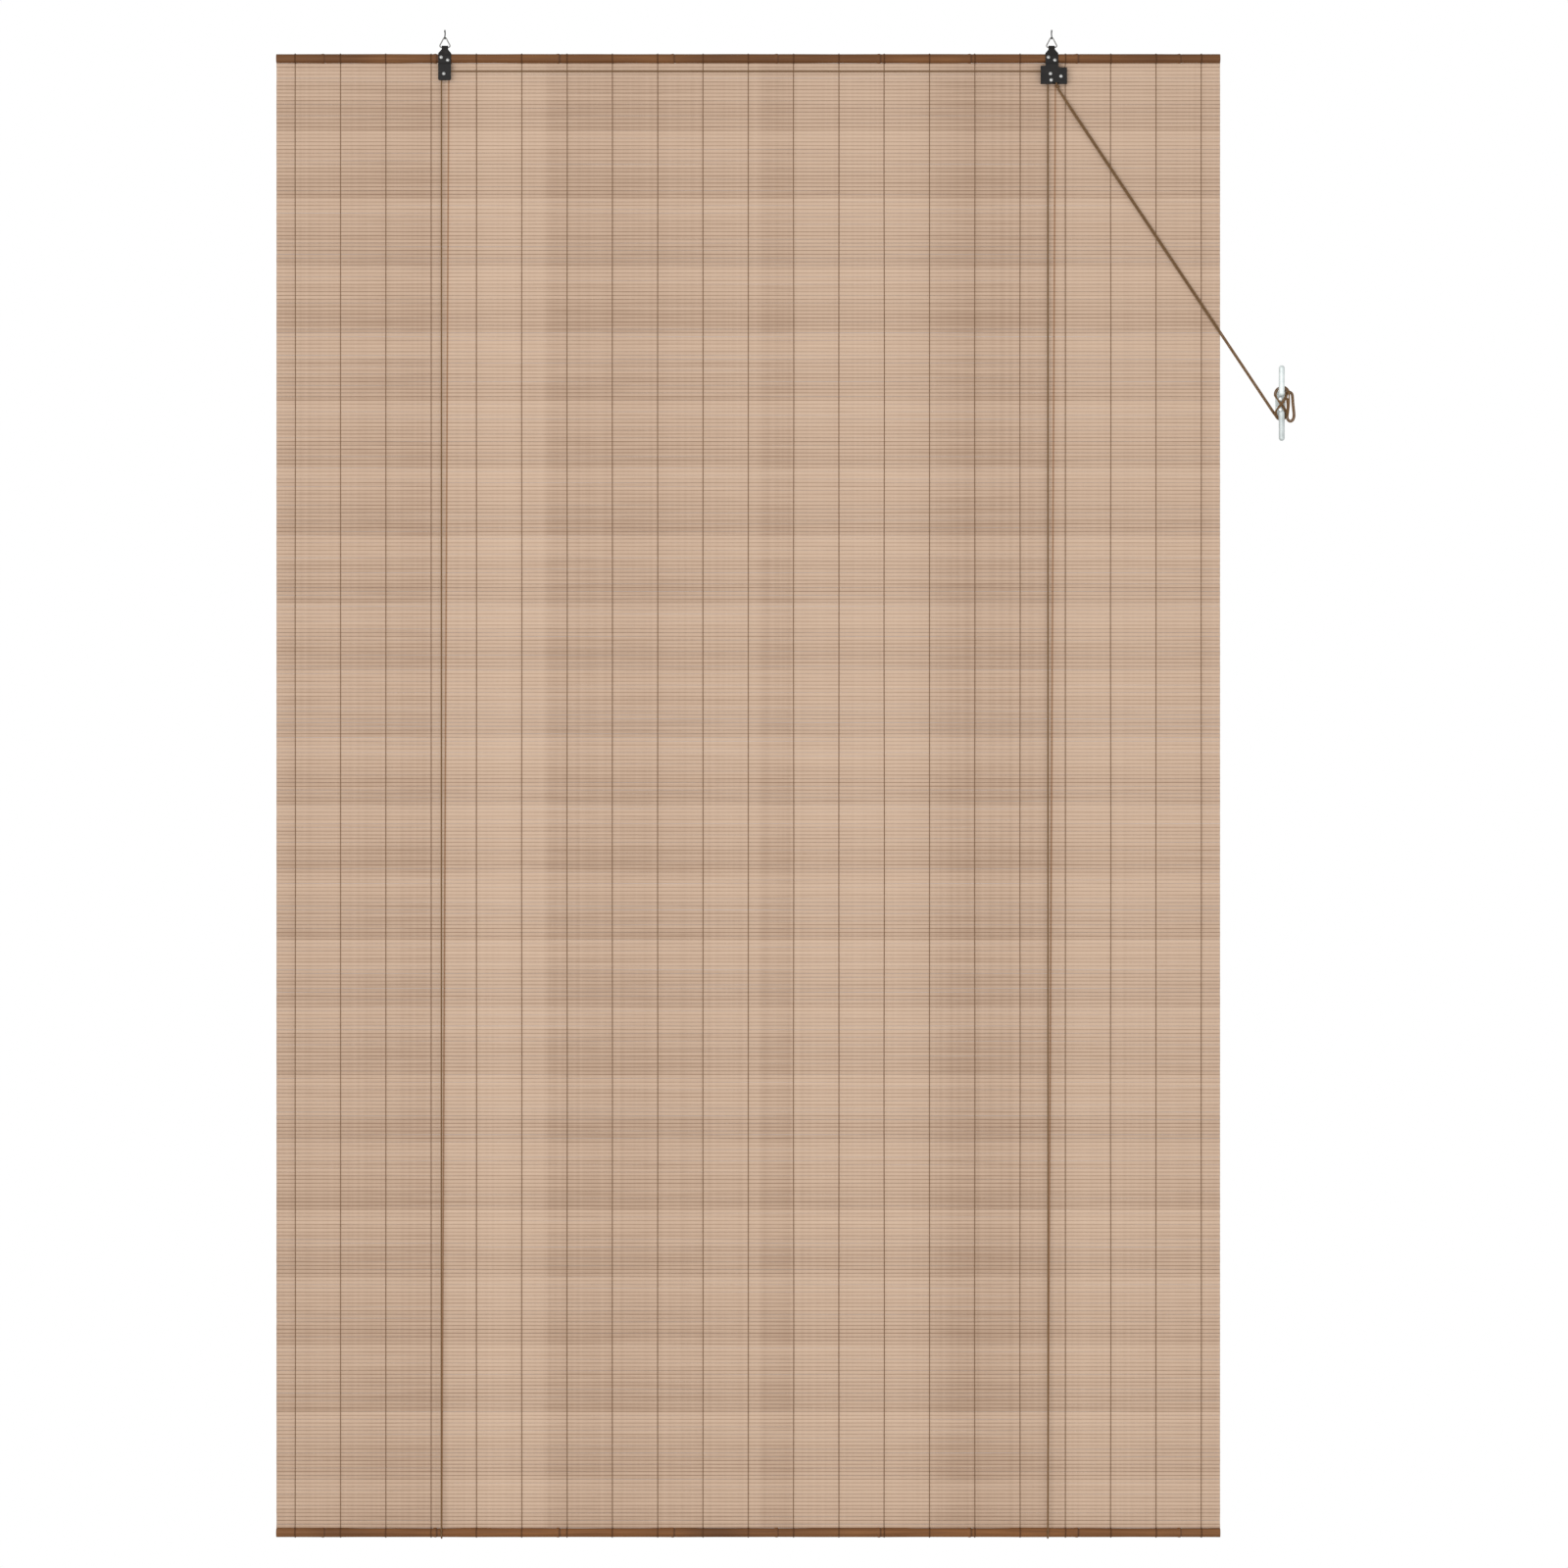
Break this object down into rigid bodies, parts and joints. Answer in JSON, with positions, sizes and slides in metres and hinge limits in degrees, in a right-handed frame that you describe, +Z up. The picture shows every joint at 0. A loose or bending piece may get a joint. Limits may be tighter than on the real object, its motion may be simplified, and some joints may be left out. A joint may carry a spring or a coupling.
{
  "type": "bamboo roll-up blind",
  "caption": "Slat mat woven between two bamboo canes, hung on hooks from folded brackets, raised by cords over pulleys and a cord lock, with a wall cleat for the pull cord.",
  "frame": {"origin": "midway between the seats of the two hanging hooks", "axes": "+X to the right seen from the front, +Y back towards the wall, +Z up"},
  "size_m": [1.5089, 0.031, 2.2385],
  "materials": {
    "cane": "stained bamboo, satin",
    "slats": "natural bamboo slats, matt",
    "thread": "twisted cotton thread",
    "bracket": "black lacquer on sheet steel",
    "steel": "zinc plated",
    "pulley": "moulded",
    "cam": "plain casting",
    "cord": "twisted cotton cord",
    "cleat": "bright cast"
  },
  "bodies": {
    "wall_side": {"left_hook": "steel", "right_hook": "steel", "left_ring": "steel", "right_ring": "steel", "cleat": "cleat", "pull_cord": "cord"},
    "blind": {"top_rail": "cane", "slat_mat": "slats", "warp_threads": "thread", "top_thread_turns": "thread", "left_bracket": "bracket", "left_bracket_screws": "steel", "left_pulley_axle": "steel", "lock_bracket": "bracket", "lock_bracket_screws": "steel", "lock_back_plate": "bracket", "lock_pulley_axle": "steel", "lock_anvil": "steel", "lock_anvil_rivet": "steel", "lock_cam_axle": "steel", "left_lift_cord": "cord", "right_lift_cord": "cord", "cross_cord": "cord", "lock_cord": "cord", "joining_knot": "cord", "left_tie_knot": "cord", "right_tie_knot": "cord"},
    "foot": {"bottom_rail": "cane", "bottom_thread_turns": "thread", "left_cord_loop": "cord", "right_cord_loop": "cord"},
    "left_pulley": {"left_pulley": "pulley"},
    "lock_pulley": {"lock_pulley": "pulley"},
    "lock_cam": {"lock_cam": "cam"}
  },
  "joints": [
    {"name": "blind_swing", "type": "hinge", "parent": "wall_side", "child": "blind", "pos_m": [0, 0, -0.0242], "axis": [-1, 0, 0], "range_deg": [0, 20], "deforming": ["pull_cord"]},
    {"name": "blind_lift", "type": "slide", "parent": "blind", "child": "foot", "axis": [0, 0, 1], "range_m": [0, 2.05], "deforming": ["slat_mat", "warp_threads", "left_lift_cord", "right_lift_cord", "pull_cord"]},
    {"name": "left_pulley_spin", "type": "hinge", "parent": "blind", "child": "left_pulley", "pos_m": [-0.4512, -0.0065, -0.0644], "axis": [0, 1, 0], "continuous": true},
    {"name": "lock_pulley_spin", "type": "hinge", "parent": "blind", "child": "lock_pulley", "pos_m": [0.4478, -0.005, -0.0644], "axis": [0, 1, 0], "continuous": true},
    {"name": "lock_cam_pivot", "type": "hinge", "parent": "blind", "child": "lock_cam", "pos_m": [0.4634, -0.005, -0.0682], "axis": [0, 1, 0], "range_deg": [0, 30]}
  ],
  "couplings": [
    {"joint": "left_pulley_spin", "follows": "blind_lift", "rad_per_m": 555.56},
    {"joint": "lock_pulley_spin", "follows": "blind_lift", "rad_per_m": 555.56}
  ]
}
